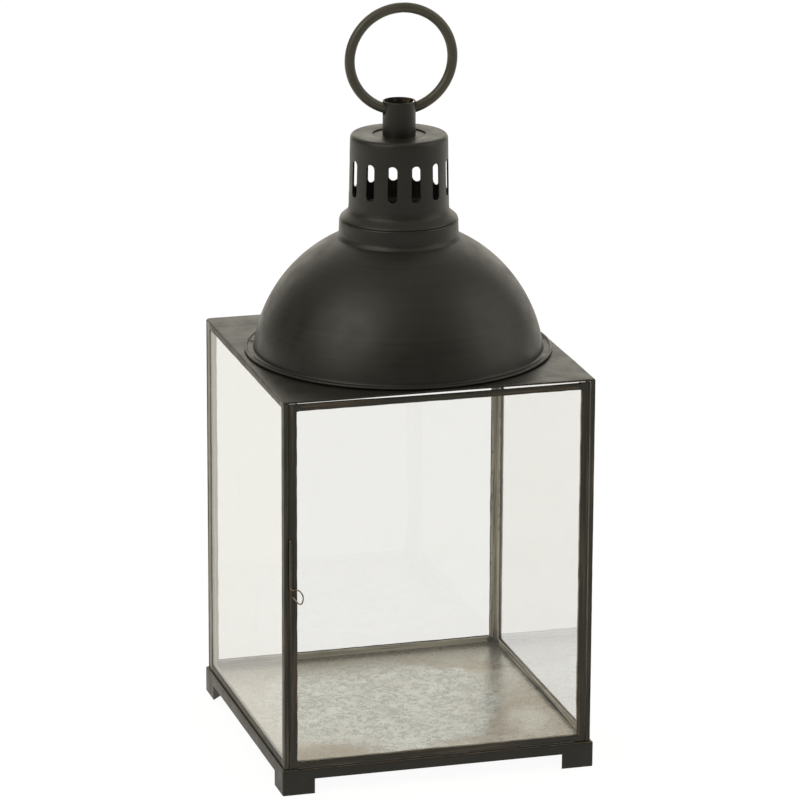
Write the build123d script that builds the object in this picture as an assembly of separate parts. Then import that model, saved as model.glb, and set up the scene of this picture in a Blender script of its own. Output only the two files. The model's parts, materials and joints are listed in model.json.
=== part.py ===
"""Square glass candle lantern with a spun dome, a vented chimney and a hanging ring.

Frame: origin at the centre of the base where the feet stand, +X to the right along
the door, the door facing -Y, +Z up.  Millimetres throughout.
"""
from math import cos, radians, sin, sqrt
import os

from build123d import *

# ---- driving dimensions -----------------------------------------------------------
BOX = 202.0                 # outside width and depth of the glass box
TRAY = 205.4                # outside width and depth of the base tray
ROOF = 202.0                # width and depth of the roof plate
FLOOR_Z = 16.8              # top of the tray, where the panels stand
ROOF_Z = 258.4              # top of the roof plate
SHEET = 0.8                 # thickness of the tray's sheet
SKIRT_Z = 10.0              # lower edge of the tray's folded skirt
FOLD_R = 1.2                # upright corners of the tray and feet
FOOT_LEG = 21.0             # length of a foot along each side of the tray
FOOT_SHEET = 1.0
LINER_SHEET = 0.5           # galvanised sheet that lines the floor
LINER_GAP = 0.4
ROOF_SHEET = 1.2
ROOF_CORNER_R = 3.0
ROOF_HOLE_R = 86.0          # hole under the dome

GLASS = 2.0                 # pane thickness
CAME = 3.0                  # outside thickness of the channel round each pane
CAME_WEB = 0.5              # metal behind the pane's edge
PANE_INSET = 0.7            # from a channel's outer edge to the pane's edge
STILE = 6.4                 # width of the upright channels of the fixed panels
RAIL_LOW = 4.6              # width of the lower channels of the fixed panels
RAIL_TOP = 4.0              # width of the upper channels of the fixed panels

DOOR_LEFT = -97.9
DOOR_RIGHT = 97.45
DOOR_LOW = FLOOR_Z + 0.6
DOOR_TOP = 256.0            # leaves a narrow gap under the roof plate
DOOR_STILE = 5.4
DOOR_RAIL_LOW = 4.2
DOOR_RAIL_TOP = 4.2
PIN_R = 0.9                 # hinge pins
PIN_CLEARANCE = 0.07        # radial, in the tray and the roof plate
PIN_IN_DOOR = 8.0           # length of each pin inside the hinge channel
PIN_SHOULDER_R = 1.3        # carries the door just above the tray
PIN_SHOULDER_GAP = 0.05

DOME_R = 93.6               # outside of the spun dome
DOME_CENTRE_Z = 247.4
DOME_SHEET = 0.9
DOME_MOUTH_R = 34.0         # opening under the chimney
FLANGE_R = 98.5
BEAD_R = 1.0                # rolled edge of the flange
TACK_R = 1.6
TACK_HEIGHT = 0.7
TACK_AT_R = 94.9
TACK_AZIMUTHS = (-3, 77, 157)

COLLAR_R = 38.3             # foot of the collar, on the dome
COLLAR_TOP_R = 38.0
COLLAR_WALL = 1.3
COLLAR_TOP_Z = 344.5
CHIMNEY_FOOT_R = 37.5
SHOULDER_LOW_Z = 345.2       # the shoulder is a cone between these two heights
SHOULDER_TOP_Z = 350.0
SHOULDER_BEND = 1.2
CHIMNEY_LOW_R = 32.0
CHIMNEY_TOP_R = 31.0
CHIMNEY_TOP_Z = 399.3
CHIMNEY_SHEET = 0.9
CHIMNEY_MOUTH_R = 17.0
RIM_BEND = 2.6
SEAM = 0.3                  # chamfers that form the groove above the collar
VENTS = 13
VENT_WIDTH = 6.1
VENT_HEIGHT = 23.7
VENT_Z = 372.7
VENT_AZIMUTH = -2.6

DISC_R = 22.0
DISC_SHEET = 1.1
TUBE_R = 10.55
TUBE_WALL = 1.0
TUBE_TOP_Z = 420.5
RING_AXIS_Z = 415.8         # centre of the two holes that the ring passes through
RING_HOLE_R = 4.2
RING_ACROSS = 33.6          # half axes of the hanging ring's centreline
RING_UP = 32.87
RING_ROD_R = 3.3
RING_LEAN = 1.4             # degrees that the loose ring leans to +X
RING_SHIFT = 0.4            # the loose ring sits this far to +X in its holes
TOP_X = 1.0                 # the hand-soldered dome and all above it sit this far off centre

LATCH_WIRE_R = 0.45
SLEEVE_R = 0.9
SLEEVE_BORE_R = 0.5
SLEEVE_LOW_Z = 138.0
SLEEVE_TOP_Z = 167.0
LATCH_X = DOOR_LEFT + 0.7
LATCH_HEAD_R = 0.75         # peened head that keeps the wire in its sleeve
LATCH_HEAD_GAP = 0.3
# corners of the wire: distance from its axis, height, bend radius
LATCH_CORNERS = ((0.0, 136.0, 1.2), (5.2, 136.4, 2.6), (8.6, 130.6, 2.2), (7.2, 125.4, 1.3))
LATCH_END = (0.9, 132.2)

# ---- derived places ---------------------------------------------------------------
HALF = BOX / 2
INSIDE = HALF - CAME                        # inner faces of the panels
WEB_R = CAME / 2                            # rounded outer edge of a channel
TRAY_UNDER_Z = FLOOR_Z - SHEET
ROOF_UNDER_Z = ROOF_Z - ROOF_SHEET
PIN_X = DOOR_RIGHT - CAME_WEB - PIN_R
DOOR_Y = -HALF + WEB_R                      # mid-plane of the door, and its pins
DISC_TOP_Z = CHIMNEY_TOP_Z - CHIMNEY_SHEET
TUBE_MID_R = TUBE_R - TUBE_WALL / 2
RING_RISE = RING_UP * sqrt(1 - (TUBE_MID_R / RING_ACROSS) ** 2)
# the latch sleeve lies in the groove beside the door's rounded edge, touching it
SLEEVE_SIDE = LATCH_X - (DOOR_LEFT + WEB_R)
LATCH_Y = DOOR_Y - sqrt((WEB_R + SLEEVE_R) ** 2 - SLEEVE_SIDE**2)


# ---- shapes used more than once ---------------------------------------------------
def block(x0, x1, y0, y1, z0, z1):
    """Box between two corners."""
    centre = Pos((x0 + x1) / 2, (y0 + y1) / 2, (z0 + z1) / 2)
    return centre * Box(x1 - x0, y1 - y0, z1 - z0)


def upright(radius, z0, z1, x=0.0, y=0.0):
    """Vertical cylinder from z0 to z1."""
    return Pos(x, y, (z0 + z1) / 2) * Cylinder(radius, z1 - z0)


def turned(outline):
    """Solid of revolution about Z of a closed outline drawn in (radius, height)."""
    return revolve(Plane.XZ * make_face(outline), Axis.Z)


def bent_outline(corners):
    """Closed outline of (radius, height, bend radius) corners."""
    points = [(r, z) for r, z, bend in corners]
    return FilletPolyline(*points, radius=[bend for r, z, bend in corners], close=True)


def sphere_radius_at(radius, z):
    """Distance from the axis of a sphere about the dome's centre, at height z."""
    return sqrt(radius**2 - (z - DOME_CENTRE_Z) ** 2)


def sphere_height_at(radius, r):
    """Height of a sphere about the dome's centre, at distance r from the axis."""
    return DOME_CENTRE_Z + sqrt(radius**2 - r**2)


def came(width, length):
    """U-channel along Z: rounded web at x = 0, open towards +X, centred on y = 0."""
    web = Pos(WEB_R, 0) * Circle(WEB_R)
    lips = Pos((WEB_R + width) / 2, 0) * Rectangle(width - WEB_R, CAME)
    slot = Pos((CAME_WEB + width) / 2, 0) * Rectangle(width - CAME_WEB, GLASS)
    return extrude(web + lips - slot, length)


def framed_pane(width, height, stile, rail_low, rail_top, far_inset=PANE_INSET):
    """A pane in four channels, standing on z = 0 and running along +X from x = 0.

    far_inset is the pane's distance from the outer edge of the far channel.
    """
    rail = width - 2 * stile
    return {
        "glass": block(PANE_INSET, width - far_inset, -GLASS / 2, GLASS / 2,
                       PANE_INSET, height - PANE_INSET),
        "bottom_channel": Pos(width - stile, 0, 0) * Rot(0, -90, 0) * came(rail_low, rail),
        "top_channel": Pos(stile, 0, height) * Rot(0, 90, 0) * came(rail_top, rail),
        "near_channel": came(stile, height),
        "far_channel": Pos(width, 0, 0) * Rot(0, 0, 180) * came(stile, height),
    }


def place_panel(parts, name, panel, place, near, far):
    """Put a framed pane in its place, naming its two upright channels."""
    words = {"near_channel": near, "far_channel": far}
    for piece, solid in panel.items():
        parts[f"{name}_{words.get(piece, piece)}"] = place * solid


# ---- base -------------------------------------------------------------------------
def make_base_tray():
    """Folded sheet tray, open underneath, with a hole for the lower hinge pin."""
    half = TRAY / 2
    inner = half - SHEET
    tray = block(-half, half, -half, half, SKIRT_Z, FLOOR_Z)
    tray = fillet(tray.edges().filter_by(Axis.Z), FOLD_R)
    tray = fillet(tray.faces().sort_by(Axis.Z)[-1].edges(), 0.7)
    tray -= block(-inner, inner, -inner, inner, SKIRT_Z - 1, TRAY_UNDER_Z)
    return tray - upright(PIN_R + PIN_CLEARANCE, TRAY_UNDER_Z - 1, FLOOR_Z + 1, PIN_X, DOOR_Y)


def corner_prism(outer, leg, z0, z1):
    """Triangular prism in the +X +Y corner, its right angle at (outer, outer)."""
    triangle = Polyline((outer, outer), (outer - leg, outer), (outer, outer - leg), close=True)
    return Pos(0, 0, z0) * extrude(make_face(triangle), z1 - z0)


def make_foot(turn):
    """Folded three-sided foot with a floor, its slanting wall running up to the tray."""
    half = TRAY / 2
    slant = FOOT_SHEET * sqrt(2)
    foot = corner_prism(half, FOOT_LEG, 0, SKIRT_Z)
    outer_edge = foot.edges().filter_by(Axis.Z).sort_by(lambda e: e.center().X + e.center().Y)[-1]
    foot = fillet(outer_edge, FOLD_R)
    foot -= corner_prism(half - FOOT_SHEET, FOOT_LEG - 2 * FOOT_SHEET - slant, FOOT_SHEET, SKIRT_Z)
    tab_leg = FOOT_LEG - 2 * SHEET
    foot += corner_prism(half - SHEET, tab_leg, SKIRT_Z, TRAY_UNDER_Z)
    foot -= corner_prism(half - SHEET, tab_leg - slant, SKIRT_Z, TRAY_UNDER_Z)
    return Rot(0, 0, turn) * foot


def make_floor_plate():
    """Galvanised sheet lying on the tray inside the panels."""
    half = INSIDE - LINER_GAP
    return block(-half, half, -half, half, FLOOR_Z, FLOOR_Z + LINER_SHEET)


# ---- fixed panels and roof --------------------------------------------------------
def make_fixed_panels(parts):
    """Left, right and back panels; the back one covers the ends of the other two."""
    height = ROOF_UNDER_Z - FLOOR_Z
    side = framed_pane(HALF + INSIDE, height, STILE, RAIL_LOW, RAIL_TOP)
    back = framed_pane(BOX, height, STILE, RAIL_LOW, RAIL_TOP)
    middle = HALF - WEB_R
    for name, x in (("left_panel", -middle), ("right_panel", middle)):
        place = Pos(x, -HALF, FLOOR_Z) * Rot(0, 0, 90)
        place_panel(parts, name, side, place, "front_channel", "back_channel")
    place = Pos(-HALF, middle, FLOOR_Z)
    place_panel(parts, "back_panel", back, place, "left_channel", "right_channel")


def make_roof_plate():
    """Square plate with a hole under the dome and one for the upper hinge pin."""
    half = ROOF / 2
    roof = block(-half, half, -half, half, ROOF_UNDER_Z, ROOF_Z)
    roof = fillet(roof.edges().filter_by(Axis.Z), ROOF_CORNER_R)
    roof -= upright(ROOF_HOLE_R, ROOF_UNDER_Z - 1, ROOF_Z + 1, TOP_X)
    return roof - upright(PIN_R + PIN_CLEARANCE, ROOF_UNDER_Z - 1, ROOF_Z + 1, PIN_X, DOOR_Y)


# ---- dome and chimney -------------------------------------------------------------
def make_dome():
    """Spun sheet dome with a flat flange that ends in a rolled bead."""
    inner_r = DOME_R - DOME_SHEET
    flange_top = ROOF_Z + DOME_SHEET
    bead_r = FLANGE_R - BEAD_R
    bead_z = ROOF_Z + BEAD_R
    bead_foot = bead_r - sqrt(BEAD_R**2 - (bead_z - flange_top) ** 2)

    def dome_arc(radius, z_low, r_high):
        start = Vector(sphere_radius_at(radius, z_low), z_low)
        end = Vector(r_high, sphere_height_at(radius, r_high))
        r_mid = (start.X + end.X) / 2
        return ThreePointArc(start, (r_mid, sphere_height_at(radius, r_mid)), end)

    outer = dome_arc(DOME_R, flange_top, DOME_MOUTH_R)
    inner = dome_arc(inner_r, ROOF_Z, DOME_MOUTH_R)
    outline = [
        inner,
        Line(inner @ 1, outer @ 1),
        outer,
        Line(outer @ 0, (bead_foot, flange_top)),
        ThreePointArc((bead_foot, flange_top), (bead_r, bead_z + BEAD_R), (FLANGE_R, bead_z)),
        RadiusArc((FLANGE_R, bead_z), (bead_r, ROOF_Z), BEAD_R),
        Line((bead_r, ROOF_Z), inner @ 0),
    ]
    return turned(outline)


def make_dome_tacks():
    """Solder tacks that hold the flange to the roof plate."""
    low = ROOF_Z + DOME_SHEET
    tacks = []
    for azimuth in TACK_AZIMUTHS:
        x = TACK_AT_R * cos(radians(azimuth))
        y = TACK_AT_R * sin(radians(azimuth))
        tack = upright(TACK_R, low, low + TACK_HEIGHT, x, y)
        tacks.append(fillet(tack.edges().group_by(Axis.Z)[-1], TACK_HEIGHT * 0.7))
    return Compound(tacks)


def make_dome_collar():
    """Ring that stands on the dome round its opening and carries the chimney."""
    outline = Polyline(
        (COLLAR_R, sphere_height_at(DOME_R, COLLAR_R) - 3),
        (COLLAR_TOP_R, COLLAR_TOP_Z - SEAM),
        (COLLAR_TOP_R - SEAM, COLLAR_TOP_Z),
        (COLLAR_TOP_R - COLLAR_WALL, COLLAR_TOP_Z),
        (COLLAR_R - COLLAR_WALL, sphere_height_at(DOME_R, COLLAR_R) - 3),
        close=True,
    )
    return turned(outline) - Pos(0, 0, DOME_CENTRE_Z) * Sphere(DOME_R)


def make_chimney():
    """Sheet chimney: stepped shoulder, slightly tapered wall, vents and an open top."""
    t = CHIMNEY_SHEET
    outline = bent_outline((
        (CHIMNEY_FOOT_R - SEAM, COLLAR_TOP_Z, 0),
        (CHIMNEY_FOOT_R, COLLAR_TOP_Z + SEAM, 0),
        (CHIMNEY_FOOT_R - SEAM, SHOULDER_LOW_Z, 0),
        (CHIMNEY_LOW_R, SHOULDER_TOP_Z, SHOULDER_BEND),
        (CHIMNEY_TOP_R, CHIMNEY_TOP_Z, RIM_BEND),
        (CHIMNEY_MOUTH_R, CHIMNEY_TOP_Z, 0),
        (CHIMNEY_MOUTH_R, DISC_TOP_Z, 0),
        (CHIMNEY_TOP_R - t, DISC_TOP_Z, RIM_BEND - t),
        (CHIMNEY_LOW_R - t, SHOULDER_TOP_Z - t / 2, SHOULDER_BEND),
        (CHIMNEY_FOOT_R - t - SEAM, COLLAR_TOP_Z, 0),
    ))
    chimney = turned(outline)
    for k in range(VENTS):
        turn = VENT_AZIMUTH + k * 360 / VENTS
        vent_plane = Plane(origin=(0, 0, VENT_Z), x_dir=(0, 1, 0), z_dir=(1, 0, 0))
        vent = extrude(vent_plane * SlotOverall(VENT_HEIGHT, VENT_WIDTH, rotation=90), 40)
        chimney -= Rot(0, 0, turn) * vent
    return chimney


def make_hanger_tube():
    """Open tube with two facing holes for the ring, just below its rim."""
    tube = upright(TUBE_R, DISC_TOP_Z, TUBE_TOP_Z)
    tube -= upright(TUBE_R - TUBE_WALL, DISC_TOP_Z - 1, TUBE_TOP_Z + 1)
    return tube - Pos(0, 0, RING_AXIS_Z) * Rot(0, 90, 0) * Cylinder(RING_HOLE_R, 4 * TUBE_R)


def make_hanging_ring():
    """Round rod bent to a slightly flattened ring, loose in the tube's holes and leaning."""
    line = Pos(RING_SHIFT, 0, RING_RISE) * Edge.make_ellipse(RING_ACROSS, RING_UP, Plane.XZ)
    rod = sweep(Plane(origin=line @ 0, z_dir=line % 0) * Circle(RING_ROD_R), path=line)
    return Pos(0, 0, RING_AXIS_Z) * Rot(0, RING_LEAN, 0) * rod


# ---- door and latch ---------------------------------------------------------------
def make_door(parts):
    """Glazed door with its two hinge pins and the latch's sleeve."""
    far_inset = CAME_WEB + 2 * PIN_R + 0.3
    panel = framed_pane(DOOR_RIGHT - DOOR_LEFT, DOOR_TOP - DOOR_LOW, DOOR_STILE,
                        DOOR_RAIL_LOW, DOOR_RAIL_TOP, far_inset)
    place = Pos(DOOR_LEFT, DOOR_Y, DOOR_LOW)
    place_panel(parts, "door", panel, place, "latch_channel", "hinge_channel")

    pin_top = ROOF_Z - 0.1
    pin_foot = TRAY_UNDER_Z - 1
    parts["upper_hinge_pin"] = upright(PIN_R, DOOR_TOP - PIN_IN_DOOR, pin_top, PIN_X, DOOR_Y)
    lower = upright(PIN_R, pin_foot, DOOR_LOW + PIN_IN_DOOR, PIN_X, DOOR_Y)
    shoulder_low = FLOOR_Z + PIN_SHOULDER_GAP
    lower += upright(PIN_SHOULDER_R, shoulder_low, DOOR_LOW, PIN_X, DOOR_Y)
    parts["lower_hinge_pin"] = lower

    sleeve = upright(SLEEVE_R, SLEEVE_LOW_Z, SLEEVE_TOP_Z, LATCH_X, LATCH_Y)
    bore = upright(SLEEVE_BORE_R, SLEEVE_LOW_Z - 1, SLEEVE_TOP_Z + 1, LATCH_X, LATCH_Y)
    parts["latch_sleeve"] = sleeve - bore


def make_latch_wire():
    """Wire with a loop across the door's edge, turning in its sleeve."""
    head_z = SLEEVE_TOP_Z + LATCH_HEAD_GAP + LATCH_HEAD_R
    points = [(0, head_z)] + [(x, z) for x, z, bend in LATCH_CORNERS] + [LATCH_END]
    bends = [bend for x, z, bend in LATCH_CORNERS]
    path = Plane((LATCH_X, LATCH_Y, 0), x_dir=(1, 0, 0), z_dir=(0, -1, 0)) \
        * FilletPolyline(*points, radius=bends)
    section = Plane(origin=path @ 0, z_dir=path % 0) * Circle(LATCH_WIRE_R)
    wire = sweep(section, path=path)
    return wire + Pos(LATCH_X, LATCH_Y, head_z) * Sphere(LATCH_HEAD_R)


# ---- assembly ---------------------------------------------------------------------
def make_parts():
    """Every sub-part by name."""
    parts = {"base_tray": make_base_tray(), "floor_plate": make_floor_plate()}
    feet = ("back_right", "back_left", "front_left", "front_right")
    for k, corner in enumerate(feet):
        parts[f"foot_{corner}"] = make_foot(90 * k)
    make_fixed_panels(parts)
    parts["roof_plate"] = make_roof_plate()
    top = {
        "dome": make_dome(),
        "dome_tacks": make_dome_tacks(),
        "dome_collar": make_dome_collar(),
        "chimney": make_chimney(),
        "hanger_disc": upright(DISC_R, DISC_TOP_Z - DISC_SHEET, DISC_TOP_Z),
        "hanger_tube": make_hanger_tube(),
        "hanging_ring": make_hanging_ring(),
    }
    for name, solid in top.items():
        parts[name] = Pos(TOP_X, 0, 0) * solid
    make_door(parts)
    parts["latch_wire"] = make_latch_wire()
    return parts


def main():
    os.makedirs("parts", exist_ok=True)
    for name, solid in make_parts().items():
        export_step(solid, f"parts/{name}.step")


main()
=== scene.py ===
import json
from math import atan2, ceil, cos, degrees, pi, radians, sin, sqrt

import bmesh
import bpy
from mathutils import Matrix, Vector, noise


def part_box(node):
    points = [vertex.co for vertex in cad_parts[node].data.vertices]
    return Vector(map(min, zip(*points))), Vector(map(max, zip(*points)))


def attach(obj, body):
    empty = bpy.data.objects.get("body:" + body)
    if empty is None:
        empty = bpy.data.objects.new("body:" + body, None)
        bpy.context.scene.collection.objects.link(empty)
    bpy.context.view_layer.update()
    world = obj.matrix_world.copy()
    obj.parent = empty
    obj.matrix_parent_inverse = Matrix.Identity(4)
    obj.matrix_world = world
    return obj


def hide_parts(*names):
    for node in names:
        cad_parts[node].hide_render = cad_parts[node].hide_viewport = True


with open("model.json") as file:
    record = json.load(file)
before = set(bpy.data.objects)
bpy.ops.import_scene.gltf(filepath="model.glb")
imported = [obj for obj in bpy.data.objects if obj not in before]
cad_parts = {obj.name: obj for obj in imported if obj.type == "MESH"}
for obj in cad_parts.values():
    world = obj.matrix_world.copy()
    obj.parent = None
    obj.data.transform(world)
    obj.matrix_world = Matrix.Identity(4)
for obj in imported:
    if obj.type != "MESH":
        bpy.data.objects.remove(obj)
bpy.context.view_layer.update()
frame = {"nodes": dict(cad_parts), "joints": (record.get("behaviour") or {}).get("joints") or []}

MM = 0.001
METAL = "blackened_metal"
scene = bpy.context.scene


# ---- places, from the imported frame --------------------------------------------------
def box_mm(node):
    low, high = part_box(node)
    return low / MM, high / MM


ROOF_LOW, ROOF_HIGH = box_mm("roof_plate")
TRAY_LOW, TRAY_HIGH = box_mm("base_tray")
DOME_LOW, DOME_HIGH = box_mm("dome")
COLLAR_LOW, COLLAR_HIGH = box_mm("dome_collar")
CHIMNEY_LOW, CHIMNEY_HIGH = box_mm("chimney")
DISC_LOW, DISC_HIGH = box_mm("hanger_disc")
TUBE_LOW, TUBE_HIGH = box_mm("hanger_tube")
SLEEVE_LOW, SLEEVE_HIGH = box_mm("latch_sleeve")


def radius_mm(low, high):
    return (high.x - low.x) / 2


ROOF_TOP = ROOF_HIGH.z
ROOF_HOLE = 86.0
ROOF_CORNER = 3.0
ROOF_DROOP = 0.34
DOOR_BOW = 0.48
BOW_MIDDLE = 22.0
BOW_HALF = 72.0
TRAY_TOP = TRAY_HIGH.z
TRAY_SHEET = 0.8
SKIRT_LOW = TRAY_LOW.z
FOOT_LEG = 21.0
SKIRT_BEND = 1.2
DOME_R = 93.6
DOME_CENTRE = 247.4
DOME_SHEET = 0.9
DOME_MOUTH = 34.0
TACK_R = 95.2
TACK_TURNS = (-3, 77, 157)
TOP_X = (DOME_LOW.x + DOME_HIGH.x) / 2
CHIMNEY_LOW_R = 32.0
CHIMNEY_TOP_R = 31.0
CHIMNEY_MOUTH = 17.0
CHIMNEY_SHEET = 0.9
CHIMNEY_BEND = 2.6
SHOULDER = 350.0
VENTS = 13
FIRST_VENT = -2.6
VENT_MIDDLE = 372.7
VENT_WIDTH = 6.1
VENT_HEIGHT = 23.7
TUBE_SHEET = 1.0
RING_HOLE = 4.2
RING_ROD = 3.3
RING_ACROSS = 33.6
RING_UP = 32.87
RING_SHIFT = 0.4
RING_LEAN = 1.4
RING_PIVOT = next(j for j in frame["joints"] if j["name"] == "ring_swing")["pos_m"][2] / MM


# ---- node helpers --------------------------------------------------------------------
class Shader:
    """A material's node tree, with short calls for the nodes used here."""

    def __init__(self, name):
        self.material = bpy.data.materials.new(name)
        self.material.use_nodes = True
        self.tree = self.material.node_tree
        self.tree.nodes.clear()
        self.output = self.tree.nodes.new("ShaderNodeOutputMaterial")
        self.place = self.add("ShaderNodeTexCoord").outputs["Object"]

    def add(self, kind, settings=None, **inputs):
        node = self.tree.nodes.new(kind)
        for key, value in (settings or {}).items():
            setattr(node, key, value)
        for key, value in inputs.items():
            self.put(node, key.replace("_", " "), value)
        return node

    def put(self, node, key, value):
        socket = node.inputs[int(key)] if key.isdigit() else node.inputs[key]
        if isinstance(value, bpy.types.NodeSocket):
            self.tree.links.new(value, socket)
        else:
            socket.default_value = value

    def math(self, operation, a, b=0.0, clamp=False):
        node = self.add("ShaderNodeMath", {"operation": operation, "use_clamp": clamp})
        self.put(node, "0", a)
        self.put(node, "1", b)
        return node.outputs[0]

    def total(self, *parts):
        result = parts[0]
        for part in parts[1:]:
            result = self.math("ADD", result, part)
        return result

    def vector(self, operation, a, b=(0, 0, 0), out="Vector"):
        node = self.add("ShaderNodeVectorMath", {"operation": operation})
        self.put(node, "0", a)
        self.put(node, "1", b)
        return node.outputs[out]

    def stretched(self, x, y, z, vector=None):
        return self.vector("MULTIPLY", vector or self.place, (x, y, z))

    def noise(self, scale, detail=3.0, rough=0.55, distort=0.0, vector=None):
        node = self.add("ShaderNodeTexNoise", Vector=vector or self.place, Scale=scale,
                        Detail=detail, Roughness=rough, Distortion=distort)
        return node.outputs["Fac"]

    def span(self, value, low, high, to_low=0.0, to_high=1.0, smooth=True):
        kind = "SMOOTHSTEP" if smooth else "LINEAR"
        node = self.add("ShaderNodeMapRange", {"interpolation_type": kind}, Value=value)
        limits = {"From Min": low, "From Max": high, "To Min": to_low, "To Max": to_high}
        for key, number in limits.items():
            node.inputs[key].default_value = number
        return node.outputs["Result"]

    def mix(self, factor, a, b):
        node = self.add("ShaderNodeMix", {"data_type": "RGBA"})
        self.put(node, "0", factor)
        self.put(node, "6", a)
        self.put(node, "7", b)
        return node.outputs[2]

    def bump(self, height, distance, normal=None, strength=1.0):
        node = self.add("ShaderNodeBump", Height=height, Distance=distance, Strength=strength)
        if normal is not None:
            self.put(node, "Normal", normal)
        return node.outputs["Normal"]

    def finish(self, surface):
        self.tree.links.new(surface, self.output.inputs["Surface"])
        return self.material


def rgb(r, g, b):
    return (r, g, b, 1.0)


# ---- materials -----------------------------------------------------------------------
def blackened(name, spun=False, drawn=False, rough=0.36, tone=1.0):
    """Satin bronze-black finish: mottled, finely pitted, rubbed brown on worn edges, in places painted
    highlight.
    """
    s = Shader(name)

    def shade(r, g, b):
        return rgb(r * tone, g * tone, b * tone)

    mottle = s.noise(38, 5, 0.6)
    patches = s.noise(9, 3, 0.5, 0.4)
    grain = s.noise(950, 3, 0.6)
    dark_tone, light_tone = shade(0.0125, 0.0118, 0.0092), shade(0.0180, 0.0168, 0.0128)
    colour = s.mix(s.span(mottle, 0.35, 0.68), dark_tone, light_tone)
    colour = s.mix(s.span(patches, 0.5, 0.75, 0, 0.5), colour, shade(0.0215, 0.0190, 0.0142))
    height = grain
    if spun:
        lines = s.noise(1.0, 5, 0.65, vector=s.stretched(3, 3, 420))
        broad = s.noise(1.0, 3, 0.5, vector=s.stretched(2, 2, 95))
        colour = s.mix(s.span(lines, 0.35, 0.7, 0, 0.7), colour, shade(0.0235, 0.0218, 0.0168))
        height = s.total(height, s.math("MULTIPLY", lines, 2.4), s.math("MULTIPLY", broad, 4.0))
    if drawn:
        along = s.add("ShaderNodeAttribute", {"attribute_name": "lie"}).outputs["Vector"]
        streaks = s.noise(1.0, 4, 0.6, vector=s.stretched(16, 620, 620, along))
        dark = s.noise(1.0, 3, 0.6, vector=s.stretched(9, 310, 310, along))
        colour = s.mix(s.span(streaks, 0.46, 0.68, 0, 0.8), colour, shade(0.060, 0.046, 0.030))
        colour = s.mix(s.span(dark, 0.50, 0.66, 0, 0.7), colour, shade(0.008, 0.007, 0.0055))
        inner = s.add("ShaderNodeAttribute", {"attribute_name": "inner"}).outputs["Fac"]
        bare = s.mix(s.span(streaks, 0.36, 0.56), rgb(0.36, 0.342, 0.28), rgb(0.62, 0.595, 0.50))
        # Where inner reaches 1.8 the colour is a paler band: a painted highlight along the bar's free
        # inner edge.
        bare = s.mix(s.span(inner, 1.1, 1.8), bare, rgb(0.66, 0.63, 0.54))
        colour = s.mix(s.math("MULTIPLY", inner, s.span(dark, 0.68, 0.54), True), colour, bare)
        height = s.total(height, s.math("MULTIPLY", streaks, 2.6), s.math("MULTIPLY", dark, 4.0))
    wear = s.add("ShaderNodeAttribute", {"attribute_name": "wear"}).outputs["Fac"]
    ragged = s.noise(260, 5, 0.7)
    # Rubbed brown where wear is high. On the tray's top fold and the roof's turned edge it is also a
    # painted highlight.
    rubbed = s.span(s.math("ADD", wear, ragged), 0.86, 1.06)
    colour = s.mix(rubbed, colour, rgb(0.125, 0.098, 0.066))
    gloss = s.span(s.noise(70, 4, 0.6), 0.3, 0.75, rough - 0.05, rough + 0.08)
    gloss = s.math("SUBTRACT", gloss, s.math("MULTIPLY", rubbed, 0.08))
    normal = s.bump(height, 0.000012)
    shader = s.add("ShaderNodeBsdfPrincipled", Base_Color=colour, Roughness=gloss, Normal=normal)
    shader.inputs["IOR"].default_value = 1.5
    return s.finish(shader.outputs["BSDF"])


def pane_glass(name):
    """Thin sheet glass: clear, very faintly warm, with a grazing reflection and a little dust.

    The reflection of a pane's two faces and the dust both lie on the face that light enters by.
    """
    s = Shader(name)
    entering = s.math("SUBTRACT", 1.0, s.add("ShaderNodeNewGeometry").outputs["Backfacing"])
    ripple = s.noise(11, 2, 0.4)
    normal = s.bump(ripple, 0.0006)
    face = s.add("ShaderNodeFresnel", Normal=normal)
    face.inputs["IOR"].default_value = 1.5
    once = face.outputs["Fac"]
    both = s.math("DIVIDE", s.math("MULTIPLY", once, 2.0), s.math("ADD", once, 1.0))
    through = s.add("ShaderNodeBsdfTransparent")
    through.inputs["Color"].default_value = rgb(0.972, 0.972, 0.966)
    shine = s.add("ShaderNodeBsdfAnisotropic", Normal=normal)
    shine.inputs["Color"].default_value = rgb(0.97, 0.98, 1.0)
    shine.inputs["Roughness"].default_value = 0.02
    clear = s.add("ShaderNodeMixShader")
    s.put(clear, "0", s.math("MULTIPLY", both, entering))
    s.put(clear, "1", through.outputs[0])
    s.put(clear, "2", shine.outputs[0])
    dust = s.add("ShaderNodeBsdfDiffuse")
    dust.inputs["Color"].default_value = rgb(0.72, 0.72, 0.68)
    smears = s.span(s.noise(26, 4, 0.6, 1.2), 0.42, 0.8, 0.003, 0.018)
    dusty = s.add("ShaderNodeMixShader")
    s.put(dusty, "0", s.math("MULTIPLY", smears, entering))
    s.put(dusty, "1", clear.outputs[0])
    s.put(dusty, "2", dust.outputs[0])
    return s.finish(dusty.outputs[0])


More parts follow.
